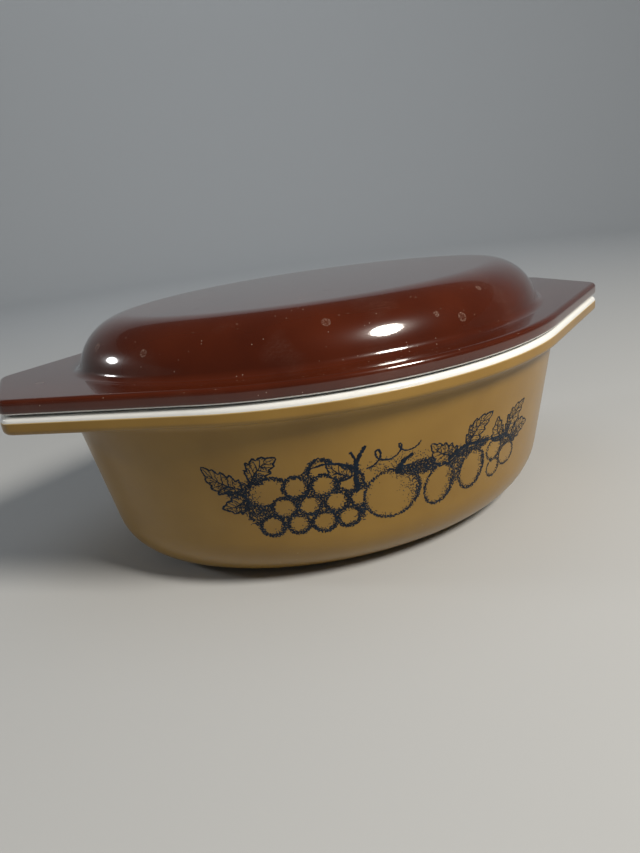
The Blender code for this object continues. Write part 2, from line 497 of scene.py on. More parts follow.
@dataclass(frozen=True)
class OpalGlass:
    """Opal (fluoride) glass, pressed in a mould and fire-polished.

    A milky body that light enters a little, under a clean glassy skin with the faint ripple
    that the plunger leaves; grey rub marks where the dish stands or is scraped, and the same
    grey painted on the lid's bare lower edge as shade.
    """

    name: str = "opal_glass_pressed"
    body: str = "#F1F2EF"
    # grey of the dish's rub marks, also painted on the lid's bare lower edge as shade
    rubbed_and_shaded: str = "#7C7974"
    roughness: float = 0.11
    rubbed_and_shaded_roughness: float = 0.45
    ior: float = 1.51
    milkiness: float = 0.25  # share of the light that enters
    light_depth: float = 2.0 * MM  # how far it goes
    ripple_size: float = 14.0 * MM
    ripple_depth: float = 0.02 * MM
    grit_size: float = 0.9 * MM  # of the grit that rubs the glass

    def material(self) -> bpy.types.Material:
        """Builds the node tree: body, grey rub marks and painted shade from an attribute,
        ripple.

        Returns:
            The material.
        """
        material, tree, shader = new_material(self.name)
        place = add_node(tree, "ShaderNodeTexCoord").outputs["Object"]
        # the attribute holds rub marks on the dish and painted shade on the lid's bare lower
        # edge
        rub_and_shade = add_node(tree, "ShaderNodeAttribute", attribute_name="rub_and_shade").outputs["Fac"]
        grit = add_node(tree, "ShaderNodeTexNoise", {
            "Vector": place, "Scale": 1 / self.grit_size, "Detail": 4.0, "Roughness": 0.7})
        streak = add_node(tree, "ShaderNodeMapRange", {
            "Value": grit.outputs["Fac"], "From Min": 0.42, "From Max": 0.60, "To Min": 0.4})
        marks = add_node(tree, "ShaderNodeMath", {0: rub_and_shade, 1: streak.outputs[0]},
                         operation="MULTIPLY")
        tone = add_node(tree, "ShaderNodeMix", {
            "Factor": marks.outputs[0], "A": linear(self.body), "B": linear(self.rubbed_and_shaded)},
            data_type="RGBA")
        gloss = add_node(tree, "ShaderNodeMapRange", {
            "Value": marks.outputs[0], "To Min": self.roughness,
            "To Max": self.rubbed_and_shaded_roughness})
        ripple = add_node(tree, "ShaderNodeTexNoise", {
            "Vector": place, "Scale": 1 / self.ripple_size, "Detail": 1.0})
        bump = add_node(tree, "ShaderNodeBump", {
            "Height": ripple.outputs["Fac"], "Strength": 1.0, "Distance": self.ripple_depth})
        tree.links.new(tone.outputs["Result"], shader.inputs["Base Color"])
        tree.links.new(gloss.outputs[0], shader.inputs["Roughness"])
        tree.links.new(bump.outputs["Normal"], shader.inputs["Normal"])
        shader.inputs["IOR"].default_value = self.ior
        shader.inputs["Subsurface Weight"].default_value = self.milkiness
        shader.inputs["Subsurface Radius"].default_value = (1.0, 0.95, 0.9)
        shader.inputs["Subsurface Scale"].default_value = self.light_depth
        return material


@dataclass(frozen=True)
class FiredEnamel:
    """Vitreous enamel, sprayed on the glass and fired to a skin about a tenth of a
    millimetre thick.

    A deep even colour with slow clouding, thinner and paler at its edge; a clear gloss whose
    orange peel softens the edges of highlights, and the marks of a kitchen: dried drops,
    lint-fine scratches and pale specks.
    """

    name: str
    colour: str
    deep: str  # where the coat is thickest
    thin: str  # where the glass shows through at its edge
    dust: str  # dried drops and specks
    roughness: float  # of the haze under the gloss
    haze: float  # strength of that haze
    gloss: float  # roughness of the clear skin
    gloss_weight: float
    peel_size: float
    peel_depth: float
    drop_share: float  # share of cells that hold a dried drop
    speck_share: float
    ior: float = 1.52
    cloud_size: float = 38.0 * MM
    wave_size: float = 11.0 * MM
    wave_depth: float = 0.006 * MM
    drop_cell: float = 15.0 * MM
    drop_radius: float = 2.3 * MM
    speck_cell: float = 3.4 * MM
    speck_radius: float = 0.22 * MM
    scratch_length: float = 26.0 * MM
    drop_weight: float = 0.42  # how pale each kind of mark is, 0 to 1
    speck_weight: float = 0.75
    scratch_weight: float = 0.20
    smear_weight: float = 0.012

    def material(self) -> bpy.types.Material:
        """Builds the node tree: colour, marks, gloss and orange peel.

        Returns:
            The material.
        """
        material, tree, shader = new_material(self.name)
        place = add_node(tree, "ShaderNodeTexCoord").outputs["Object"]
        film = add_node(tree, "ShaderNodeAttribute", attribute_name="film").outputs["Fac"]
        marks = self.marks(tree, place)

        cloud = add_node(tree, "ShaderNodeTexNoise", {
            "Vector": place, "Scale": 1 / self.cloud_size, "Detail": 3.0})
        clouding = add_node(tree, "ShaderNodeMapRange", {
            "Value": cloud.outputs["Fac"], "From Min": 0.35, "From Max": 0.68})
        tone = add_node(tree, "ShaderNodeMix", {
            "Factor": clouding.outputs[0], "A": linear(self.colour), "B": linear(self.deep)},
            data_type="RGBA")
        edge = add_node(tree, "ShaderNodeMapRange", {
            "Value": film, "From Max": 0.55, "To Min": 0.75, "To Max": 0.0})
        thinned = add_node(tree, "ShaderNodeMix", {
            "Factor": edge.outputs[0], "A": tone.outputs["Result"], "B": linear(self.thin)},
            data_type="RGBA")
        dusted = add_node(tree, "ShaderNodeMix", {
            "Factor": marks, "A": thinned.outputs["Result"], "B": linear(self.dust)},
            data_type="RGBA")
        haze = add_node(tree, "ShaderNodeMapRange", {
            "Value": marks, "To Min": self.roughness, "To Max": min(self.roughness + 0.4, 0.8)})

        wave = add_node(tree, "ShaderNodeTexNoise", {
            "Vector": place, "Scale": 1 / self.wave_size, "Detail": 1.0})
        waved = add_node(tree, "ShaderNodeBump", {
            "Height": wave.outputs["Fac"], "Strength": 1.0, "Distance": self.wave_depth})
        peel = add_node(tree, "ShaderNodeTexNoise", {
            "Vector": place, "Scale": 1 / self.peel_size, "Detail": 3.0, "Roughness": 0.72})
        peeled = add_node(tree, "ShaderNodeBump", {
            "Height": peel.outputs["Fac"], "Strength": 1.0, "Distance": self.peel_depth,
            "Normal": waved.outputs["Normal"]})

        tree.links.new(dusted.outputs["Result"], shader.inputs["Base Color"])
        tree.links.new(haze.outputs[0], shader.inputs["Roughness"])
        tree.links.new(peeled.outputs["Normal"], shader.inputs["Normal"])
        tree.links.new(peeled.outputs["Normal"], shader.inputs["Coat Normal"])
        shader.inputs["IOR"].default_value = self.ior
        shader.inputs["Specular IOR Level"].default_value = self.haze
        shader.inputs["Coat Weight"].default_value = self.gloss_weight
        shader.inputs["Coat Roughness"].default_value = self.gloss
        shader.inputs["Coat IOR"].default_value = self.ior
        return material

    def marks(self, tree: bpy.types.NodeTree, place: bpy.types.NodeSocket
              ) -> bpy.types.NodeSocket:
        """Dried drops, specks, scratches and a faint smear, as one mask.

        A drop is a broken ring round the middle of a Voronoi cell, in the share of cells whose
        random colour is low enough; a speck is a small disc in a finer set of cells; a
        scratch is the thin middle band of a noise stretched along X.

        Args:
            tree: the material's tree.
            place: object coordinates.

        Returns:
            The mask's output socket.
        """
        masks = []
        for cell, radius, ring, share, weight in (
            (self.drop_cell, self.drop_radius, True, self.drop_share, self.drop_weight),
            (self.speck_cell, self.speck_radius, False, self.speck_share, self.speck_weight),
        ):
            cells = add_node(tree, "ShaderNodeTexVoronoi", {"Vector": place, "Scale": 1 / cell})
            reach = radius / cell
            disc = add_node(tree, "ShaderNodeMapRange", {
                "Value": cells.outputs["Distance"], "From Min": reach * 0.86,
                "From Max": reach, "To Min": weight, "To Max": 0.0},
                interpolation_type="SMOOTHSTEP")
            mask = disc.outputs[0]
            if ring:
                hollow = add_node(tree, "ShaderNodeMapRange", {
                    "Value": cells.outputs["Distance"], "From Min": reach * 0.45,
                    "From Max": reach * 0.92, "To Min": 0.25, "To Max": 1.0})
                crust = add_node(tree, "ShaderNodeTexNoise", {
                    "Vector": place, "Scale": 4 / radius, "Detail": 3.0})
                broken = add_node(tree, "ShaderNodeMapRange", {
                    "Value": crust.outputs["Fac"], "From Min": 0.40, "From Max": 0.62})
                for part in (hollow, broken):
                    mask = add_node(tree, "ShaderNodeMath", {0: mask, 1: part.outputs[0]},
                                    operation="MULTIPLY").outputs[0]
            parted = add_node(tree, "ShaderNodeSeparateColor", {"Color": cells.outputs["Color"]})
            chosen = add_node(tree, "ShaderNodeMath", {
                0: parted.outputs["Red"], 1: share}, operation="LESS_THAN")
            masks.append(add_node(tree, "ShaderNodeMath", {
                0: mask, 1: chosen.outputs[0]}, operation="MULTIPLY").outputs[0])
        stretched = add_node(tree, "ShaderNodeMapping", {
            "Vector": place, "Rotation": (0.0, 0.35, 0.12), "Scale": (0.05, 1.0, 1.0)})
        hair = add_node(tree, "ShaderNodeTexNoise", {
            "Vector": stretched.outputs[0], "Scale": 20 / self.scratch_length, "Detail": 6.0,
            "Roughness": 0.75})
        off_line = add_node(tree, "ShaderNodeMath", {0: hair.outputs["Fac"], 1: 0.5},
                            operation="SUBTRACT")
        apart = add_node(tree, "ShaderNodeMath", {0: off_line.outputs[0]}, operation="ABSOLUTE")
        line = add_node(tree, "ShaderNodeMapRange", {
            "Value": apart.outputs[0], "From Max": 0.005, "To Min": self.scratch_weight,
            "To Max": 0.0})
        patch = add_node(tree, "ShaderNodeTexNoise", {
            "Vector": place, "Scale": 1 / self.scratch_length, "Detail": 2.0})
        patches = add_node(tree, "ShaderNodeMapRange", {
            "Value": patch.outputs["Fac"], "From Min": 0.52, "From Max": 0.66})
        masks.append(add_node(tree, "ShaderNodeMath", {
            0: line.outputs[0], 1: patches.outputs[0]}, operation="MULTIPLY").outputs[0])
        masks.append(add_node(tree, "ShaderNodeMath", {
            0: patches.outputs[0], 1: self.smear_weight}, operation="MULTIPLY").outputs[0])
        total = masks[0]
        for mask in masks[1:]:
            total = add_node(tree, "ShaderNodeMath", {0: total, 1: mask},
                             operation="ADD", use_clamp=True).outputs[0]
        return total


@dataclass(frozen=True)
class CeramicInk:
    """Ceramic ink: ground glass and pigment, screened on and fired in.

    A blue-black a little duller than the enamel, uneven from dot to dot.
    """

    name: str = "ceramic_ink_fired"
    colour: str = "#081524"
    worn: str = "#142433"
    roughness: float = 0.38
    ior: float = 1.52
    shine: float = 0.18  # strength of its reflection
    patch_size: float = 3.0 * MM

    def material(self) -> bpy.types.Material:
        """Builds the node tree: patches of thinner, rougher ink.

        Returns:
            The material.
        """
        material, tree, shader = new_material(self.name)
        place = add_node(tree, "ShaderNodeTexCoord").outputs["Object"]
        patch = add_node(tree, "ShaderNodeTexNoise", {
            "Vector": place, "Scale": 1 / self.patch_size, "Detail": 4.0})
        share = add_node(tree, "ShaderNodeMapRange", {
            "Value": patch.outputs["Fac"], "From Min": 0.4, "From Max": 0.7})
        tone = add_node(tree, "ShaderNodeMix", {
            "Factor": share.outputs[0], "A": linear(self.colour), "B": linear(self.worn)},
            data_type="RGBA")
        rough = add_node(tree, "ShaderNodeMapRange", {
            "Value": patch.outputs["Fac"], "To Min": self.roughness - 0.08,
            "To Max": self.roughness + 0.12})
        tree.links.new(tone.outputs["Result"], shader.inputs["Base Color"])
        tree.links.new(rough.outputs[0], shader.inputs["Roughness"])
        shader.inputs["IOR"].default_value = self.ior
        shader.inputs["Specular IOR Level"].default_value = self.shine
        return material


@dataclass(frozen=True)
class MattePaper:
    """Matte background paper: plain, pale and without gloss."""

    name: str = "matte_background_paper"
    colour: str = "#B8BABA"
    roughness: float = 0.9
    tooth_size: float = 6.0 * MM
    tooth_depth: float = 0.05 * MM

    def material(self) -> bpy.types.Material:
        """Builds the node tree: a hardly visible tooth under a plain tone.

        Returns:
            The material.
        """
        material, tree, shader = new_material(self.name)
        place = add_node(tree, "ShaderNodeTexCoord").outputs["Object"]
        tooth = add_node(tree, "ShaderNodeTexNoise", {
            "Vector": place, "Scale": 1 / self.tooth_size, "Detail": 3.0})
        bump = add_node(tree, "ShaderNodeBump", {
            "Height": tooth.outputs["Fac"], "Strength": 0.05, "Distance": self.tooth_depth})
        tree.links.new(bump.outputs["Normal"], shader.inputs["Normal"])
        shader.inputs["Base Color"].default_value = linear(self.colour)
        shader.inputs["Roughness"].default_value = self.roughness
        return material


OPAL = OpalGlass()
OCHRE = FiredEnamel(
    name="ochre_enamel_fired", colour="#94722F", deep="#886727", thin="#DCC592",
    dust="#C3AE7E", roughness=0.36, haze=0.20, gloss=0.18, gloss_weight=0.5,
    peel_size=1.6 * MM, peel_depth=0.006 * MM, drop_share=0.0, speck_share=0.10)
BROWN = FiredEnamel(
    name="brown_enamel_fired", colour="#4E1D09", deep="#421707", thin="#7B4A31",
    dust="#B39C8C", roughness=0.22, haze=0.14, gloss=0.028, gloss_weight=1.0,
    peel_size=1.0 * MM, peel_depth=0.010 * MM, drop_share=0.45, speck_share=0.8)


# ---------------------------------------------------------------- the dish and the lid


@dataclass
class DishGlass:
    """The dish's pressed shell, its ochre coat and the sizes that the print needs."""

    plan: RimPlan
    height: float
    wall: float = 4.8 * MM
    floor: float = 6.0 * MM
    flange: float = 8.0 * MM
    overhang: float = 6.7 * MM
    fillet: float = 5.0 * MM
    draft: float = 10.3  # degrees that the wall leans out
    foot_corner: float = 31.0 * MM
    inner_corner: float = 25.5 * MM
    land: float = 8.0 * MM
    recess: float = 0.8 * MM
    step: float = 1.0 * MM
    mouth_round: float = 1.8 * MM
    coat: float = 0.14 * MM
    coat_bed: float = 0.05 * MM
    coat_below_rim: float = 2.3 * MM  # where the white rim begins
    coat_above_foot: float = 0.9 * MM
    coat_wander: float = 0.10 * MM
    stand_rub: float = 0.5 * MM  # height at which the rub under the foot has faded
    floor_rub: float = 2.0 * MM  # height above the floor at which its scrapes have faded
    floor_scrape: float = 0.35  # strength of those scrapes

    def wall_inset(self, height: np.ndarray, inside: float = 0.0) -> np.ndarray:
        """Inset of the wall: overhang + drop below the flange * tan(draft), or further in.

        Args:
            height: height on the wall.
            inside: distance of the wanted face inside the outer one.

        Returns:
            The inset.
        """
        lean = math.radians(self.draft)
        drop = self.height - self.flange - height
        return self.overhang + drop * math.tan(lean) + inside / math.cos(lean)

    def corner(self, radius: float, floor: float, inside: float) -> np.ndarray:
        """Arc between a floor and the wall.

        Args:
            radius: radius of the arc.
            floor: height of the floor.
            inside: distance of this wall face inside the outer one.

        Returns:
            The rows of the arc, from the floor up.
        """
        centre = (self.wall_inset(floor + radius, inside + radius), floor + radius)
        return arc(centre, radius, -90, self.draft - 180, 14)

    def outside(self) -> np.ndarray:
        """Section from the middle of the base up to the outer edge of the rim.

        Returns:
            The rows, base first.
        """
        foot = self.corner(self.foot_corner, 0.0, 0.0)
        land = foot[0, 0] + self.land
        base = rows(land + self.step, self.recess, shrink=np.linspace(0.03, 1, 9))
        round_off, under = self.plan.edge_round, self.height - self.flange
        hollow = under - self.fillet
        return joined(
            base, 3, rows(land, 0.0), 4, foot, 16,
            arc((self.wall_inset(hollow, -self.fillet), hollow), self.fillet,
                self.draft, 90, 8), 8,
            arc((round_off, under + round_off), round_off, 270, 180, 6, reach=1), 5,
            arc((round_off, self.height - round_off), round_off, 180, 90, 6, reach=1),
        )

    def inside(self) -> np.ndarray:
        """Section from the rim's top down to the middle of the floor.

        Returns:
            The rows, rim first.
        """
        bend = self.height - self.mouth_round
        mouth = self.wall_inset(bend, self.wall)
        corner = self.corner(self.inner_corner, self.floor, self.wall)[::-1]
        floor = rows(corner[-1, 0], self.floor, shrink=np.linspace(0.96, 0.03, 9))
        return joined(arc((mouth - self.mouth_round, bend), self.mouth_round, 90, 0, 7), 12,
                      corner, floor)

    def build(self, angle: np.ndarray) -> list[bpy.types.Object]:
        """Builds and dresses the glass and its coat.

        Args:
            angle: angles round the plan.

        Returns:
            The two pieces.
        """
        outside = self.outside()
        grid = self.plan.rings(joined(outside, 6, self.inside())[:, None], angle)
        glass = loft("dish_opal_glass", grid, Ends.POLES, {"rub_and_shade": self.rubbing_and_shade(grid)})
        glass.data.materials.append(OPAL.material())
        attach(glass, "dish")
        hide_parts("dish")

        section = Section(self.plan, outside)
        outer_foot = self.foot_way(section)
        start = section.way_at(self.coat_above_foot, outer_foot)
        end = section.way_at(self.height - self.coat_below_rim)
        edge = start + wavering(angle, self.coat_wander, seed=4)
        grid, film = section.film(edge, end, angle, self.coat, self.coat_bed, closing=True)
        coat = loft("dish_ochre_coat", grid, Ends.LOOP, {"film": film})
        coat.data.materials.append(OCHRE.material())
        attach(coat, "dish")
        return [glass, coat]

    def foot_way(self, section: Section) -> float:
        """Way along the outer section to the outer side of the land that the dish stands on."""
        return float(section.way[np.flatnonzero(section.section[:, 1] <= 1e-6)[-1]])

    def rubbing_and_shade(self, grid: np.ndarray) -> np.ndarray:
        """Where the bare glass is rubbed: the land under the foot, and the floor inside.

        Args:
            grid: the glass's grid.

        Returns:
            0 to 1 at each point.
        """
        height = grid[..., 2]
        inside = np.arange(len(grid))[:, None] > 0.6 * len(grid)  # the later rings
        stands = np.clip(1 - height / self.stand_rub, 0, 1)
        scraped = np.clip(1 - (height - self.floor) / self.floor_rub, 0, 1) * inside
        return np.maximum(stands, self.floor_scrape * scraped)


@dataclass
class LidGlass:
    """The lid's pressed shell and its brown coat."""

    plan: RimPlan
    seat: float  # height of the seat
    mouth: float  # inset of the dish's mouth
    wall: float = 4.8 * MM
    flange: float = 7.4 * MM
    skirt: float = 3.5 * MM
    relief: float = 0.5 * MM
    seat_margin: float = 0.6 * MM
    clearance: float = 1.8 * MM
    set_in: float = 2.1 * MM
    dome: float = 23.1 * MM
    lean: float = 20.0  # degrees that the dome's side leans in
    shoulder: float = 27.0 * MM
    fillet: float = 4.5 * MM
    toe_round: float = 1.8 * MM
    coat: float = 0.15 * MM
    coat_bed: float = 0.05 * MM
    coat_up: float = 1.4 * MM  # bare glass left at the flange's lower edge
    coat_wander: float = 0.09 * MM
    rub_and_shade: float = 0.8  # strength of the grey on the bare edge: painted shade, with rub at the seat
    rub_and_shade_up: float = 1.3  # height at which it has faded, in heights of the bare edge

    def dome_foot(self) -> float:
        """Inset at which the dome's side would meet the seat's plane."""
        lean = math.tan(math.radians(self.lean))
        return self.mouth + self.clearance + self.set_in - self.flange * lean

    def shell(self, inside: float, steps: int) -> np.ndarray:
        """Shoulder arc from the dome's leaning side to its plateau.

        Args:
            inside: distance of the wanted face inside the outer one.
            steps: steps of the arc.

        Returns:
            The rows of the arc, from the side up.
        """
        lean = math.radians(self.lean)
        radius = self.shoulder - inside
        height = self.flange + self.dome - inside - radius
        side = self.dome_foot() + height * math.tan(lean) + (inside + radius) / math.cos(lean)
        return arc((side, height), radius, 180 - self.lean, 90, steps)

    def inside(self) -> np.ndarray:
        """Section from the middle of the ceiling, round the skirt, to the flange's edge.

        Returns:
            The rows, ceiling first.
        """
        cavity = self.shell(self.wall, 14)[::-1]
        ceiling = rows(cavity[0, 0], cavity[0, 1], shrink=np.linspace(0.03, 0.96, 9))
        inner = self.dome_foot() + self.wall / math.cos(math.radians(self.lean))
        outer = self.mouth + self.clearance
        seat_outer = self.plan.edge_round + self.seat_margin + self.relief
        toe, bend = self.toe_round - self.skirt, self.toe_round
        return joined(
            ceiling, cavity, 8, rows(inner, 0.0), 3,
            arc((inner - bend, toe), bend, 0, -90, 5), 2,
            arc((outer + bend, toe), bend, 270, 180, 5), 3,
            rows(outer, 0.0), 6, rows(seat_outer, 0.0), 2,
            rows(seat_outer - self.relief, self.relief))

    def outside(self) -> np.ndarray:
        """Section from the flange's lower edge, over the dome, to the middle of the plateau.

        Returns:
            The rows, flange first.
        """
        round_off = self.plan.edge_round
        foot, lean = self.dome_foot(), math.radians(self.lean)
        height = self.flange + self.fillet
        hollow = foot + height * math.tan(lean) - self.fillet / math.cos(lean)
        shoulder = self.shell(0.0, 22)
        plateau = rows(shoulder[-1, 0], shoulder[-1, 1], shrink=np.linspace(0.97, 0.03, 12))
        return joined(
            arc((round_off, self.relief + round_off), round_off, 270, 180, 6, reach=1), 3,
            arc((round_off, self.flange - round_off), round_off, 180, 90, 8, reach=1), 9,
            arc((hollow, height), self.fillet, -90, -self.lean, 9), 8,
            shoulder, plateau)

    def build(self, angle: np.ndarray) -> list[bpy.types.Object]:
        """Builds and dresses the glass and its coat.

        Args:
            angle: angles round the plan.

        Returns:
            The two pieces.
        """
        lift = np.array([0.0, self.seat, 0.0, 0.0])
        outside = self.outside() + lift
        whole = joined(self.inside() + lift, 2, outside)
        grid = self.plan.rings(whole[:, None], angle)
        # the flange's bare lower edge is greyed here as painted shade
        glass = loft("lid_opal_glass", grid, Ends.POLES, {"rub_and_shade": self.rubbing_and_shade(grid)})
        glass.data.materials.append(OPAL.material())
        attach(glass, "lid")
        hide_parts("lid")

        section = Section(self.plan, outside)
        start = section.way_at(self.seat + self.coat_up)
        edge = start + wavering(angle, self.coat_wander, seed=9)
        grid, film = section.film(edge, float(section.way[-1]), angle, self.coat,
                                  self.coat_bed, closing=False)
        coat = loft("lid_brown_coat", grid, Ends.POLES, {"film": film})
        coat.data.materials.append(BROWN.material())
        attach(coat, "lid")
        return [glass, coat]

    def rubbing_and_shade(self, grid: np.ndarray) -> np.ndarray:
        """Grey on the bare glass: rub at skirt and seat, painted shade on the flange's lower
        edge.

        Args:
            grid: the glass's grid.

        Returns:
            0 to 1 at each point.
        """
        height = (grid[..., 2] - self.seat) / self.coat_up
        # painted shade, darkest at the seat and fading up the bare edge
        return self.rub_and_shade * np.clip(self.rub_and_shade_up - height, 0, 1)


# ---------------------------------------------------------------- the fruit print

# The print is drawn in millimetres: u along the wall from the middle of the side, to the
# right as seen, and v up the wall from the foot.


def in_radii(u: np.ndarray, v: np.ndarray, centre: tuple[float, float],
             radii: tuple[float, float], tilt: float) -> tuple[np.ndarray, np.ndarray]:
    """Places along an ellipse's own axes: turned back by its tilt and divided by its radii.

    Args:
        u: places along the wall.
        v: places up the wall.
        centre: the ellipse's middle.
        radii: its two radii.
        tilt: degrees that it is turned.

    Returns:
        The places along its first and its second axis.
    """
    turn = math.radians(tilt)
    du, dv = u - centre[0], v - centre[1]
    first = (du * math.cos(turn) + dv * math.sin(turn)) / radii[0]
    second = (dv * math.cos(turn) - du * math.sin(turn)) / radii[1]
    return first, second


@dataclass(frozen=True)
class Shade:
    """A soft patch of stipple: an ellipse, full in the middle and fading to its edge."""

    centre: tuple[float, float]
    radii: tuple[float, float]
    strength: float = 0.9
    tilt: float = 0.0  # degrees

    def paint(self, u: np.ndarray, v: np.ndarray, ink: np.ndarray) -> np.ndarray:
        """Lays strength * (2 - 2 r^2), held to 0 and 1, under the ink, with r in radii.

        The denser of the two is kept.

        Args:
            u: places along the wall.
            v: places up the wall.
            ink: density so far, 0 to 1.

        Returns:
            The new density.
        """
        x, y = in_radii(u, v, self.centre, self.radii, self.tilt)
        return np.maximum(ink, self.strength * np.clip(2 - 2 * (x**2 + y**2), 0, 1))


@dataclass(frozen=True)
class Fruit:
    """A stippled fruit: an ellipse, dense at its skin and blank towards the light."""

    centre: tuple[float, float]
    radii: tuple[float, float]
    tilt: float = 0.0  # degrees
    skin: float = 0.75  # depth of the stippled skin on the lit side
    shade: float = 0.75  # and on the shaded side
    shaded_to: float = -40.0  # degrees, direction of the shaded side
    halo: float = 1.2  # ink around it

    def paint(self, u: np.ndarray, v: np.ndarray, ink: np.ndarray) -> np.ndarray:
        """Lays the fruit over the ink that is already there.

        With r the point's distance in ellipse radii, depth is (1 - r) * mean radius. Inside,
        the ink is exp(-(depth / skin)^1.4), with a skin that widens towards the shaded side;
        outside it stays full out to the halo.

        Args:
            u: places along the wall.
            v: places up the wall.
            ink: density so far, 0 to 1.

        Returns:
            The new density.
        """
        radius = np.hypot(*in_radii(u, v, self.centre, self.radii, self.tilt))
        depth = (1 - radius) * sum(self.radii) / 2
        heading = np.arctan2(v - self.centre[1], u - self.centre[0])
        facing = np.cos(heading - math.radians(self.shaded_to))
        skin = self.skin + (self.shade - self.skin) * np.clip(facing, 0, 1) ** 1.3
        inside = np.exp(-((np.maximum(depth, 0) / skin) ** 1.4))
        outside = np.maximum(ink, np.clip((self.halo + depth) / 0.5, 0, 1))
        return np.where(depth > 0, inside, outside)


@dataclass(frozen=True)
class Stroke:
    """An inked line: a path in print millimetres with a width."""

    path: np.ndarray
    width: float
    taper: float = 0.35  # share of the width left at the far end


@dataclass(frozen=True)
class Leaf:
    """A toothed leaf with a midrib and side veins, drawn in line, shaded on one half."""

    base: tuple[float, float]
    tip: tuple[float, float]
    half_width: float
    teeth: int = 4
    shaded: float = 1.0  # the side of the midrib that is stippled, +1 or -1
    curve: float = 0.12  # sideways bend, as a share of the length
    outline: float = 0.95  # widths of its lines
    midrib: float = 0.85
    vein: float = 0.55
    vein_ahead: float = 0.16  # how far a vein leans towards the tip, as a share of the length

    def half(self, along: np.ndarray) -> np.ndarray:
        """Half width: a skewed sine of the way along, toothed by a rising saw.

        Args:
            along: 0 at the base to 1 at the tip.

        Returns:
            The half width there.
        """
        saw = (along * self.teeth) % 1.0
        belly = np.sin(np.pi * np.clip(along, 0, 1) ** 0.7) ** 0.8
        return self.half_width * belly * (0.72 + 0.40 * saw)

    def place(self, along: np.ndarray, across: np.ndarray) -> np.ndarray:
        """Turns leaf coordinates into print coordinates.

        Args:
            along: 0 at the base to 1 at the tip.
            across: millimetres to the left of the midrib.

        Returns:
            An (n, 2) array of (u, v).
        """
        base, axis = np.array(self.base), np.array(self.tip) - self.base
        length = np.hypot(*axis)
        side = np.array([-axis[1], axis[0]]) / length
        bend = self.curve * length * np.sin(np.pi * along)
        return base + along[:, None] * axis + (across + bend)[:, None] * side

    def paint(self, u: np.ndarray, v: np.ndarray, ink: np.ndarray) -> np.ndarray:
        """Clears the leaf's area and stipples it, most on its shaded half and at its base.

        Args:
            u: places along the wall.
            v: places up the wall.
            ink: density so far.

        Returns:
            The new density.
        """
        axis = np.array(self.tip) - self.base
        length = np.hypot(*axis)
        du, dv = u - self.base[0], v - self.base[1]
        along = (du * axis[0] + dv * axis[1]) / length**2
        across = (axis[0] * dv - axis[1] * du) / length
        across = across - self.curve * length * np.sin(np.pi * np.clip(along, 0, 1))
        inside = (along > 0) & (along < 1) & (np.abs(across) < self.half(along))
        shade = np.where(across * self.shaded > 0, 1.0 - 0.8 * along, 0.5 - 0.45 * along)
        return np.where(inside, shade, ink)

    def strokes(self) -> list[Stroke]:
        """The outline, the midrib and the side veins.

        Returns:
            The strokes.
        """
        along = np.linspace(0, 1, 60)
        left, right = self.place(along, self.half(along)), self.place(along, -self.half(along))
        found = [Stroke(left, self.outline, 0.9), Stroke(right, self.outline, 0.9),
                 Stroke(self.place(np.linspace(0, 0.94, 24), np.zeros(24)), self.midrib)]
        for start in np.linspace(0.14, 0.68, self.teeth):
            reach = np.linspace(0, 1, 9)
            ahead = start + self.vein_ahead * reach
            for hand in (1, -1):
                across = hand * reach * self.half(ahead) * 0.85
                found.append(Stroke(self.place(ahead, across), self.vein, 0.6))
        return found


def tendril() -> Stroke:
    """A curling tendril: a point that circles faster than it moves on, so that it loops.

    Returns:
        The stroke.
    """
    turn = np.linspace(0, 4.55 * math.pi, 200)
    radius = 3.7 - 0.11 * turn
    u = -24.0 + 1.62 * turn + radius * np.sin(turn)
    v = 56.5 + 0.36 * turn + radius * (1 - np.cos(turn))
    return Stroke(np.column_stack([u, v]), 1.1, taper=0.8)


def twig(points: list[tuple[float, float]], width: float, taper: float = 0.4) -> Stroke:
    """A twig bent smoothly through a few points, each coordinate by a cubic of the way.

    Args:
        points: four places that it passes.
        width: its width at the start.
        taper: share of the width left at the end.

    Returns:
        The stroke.
    """
    knots = np.array(points)
    share = np.linspace(0, 1, len(knots))
    fine = np.linspace(0, 1, 40)
    path = np.column_stack([np.polyval(np.polyfit(share, axis, len(knots) - 1), fine)
                            for axis in knots.T])
    return Stroke(path, width, taper)


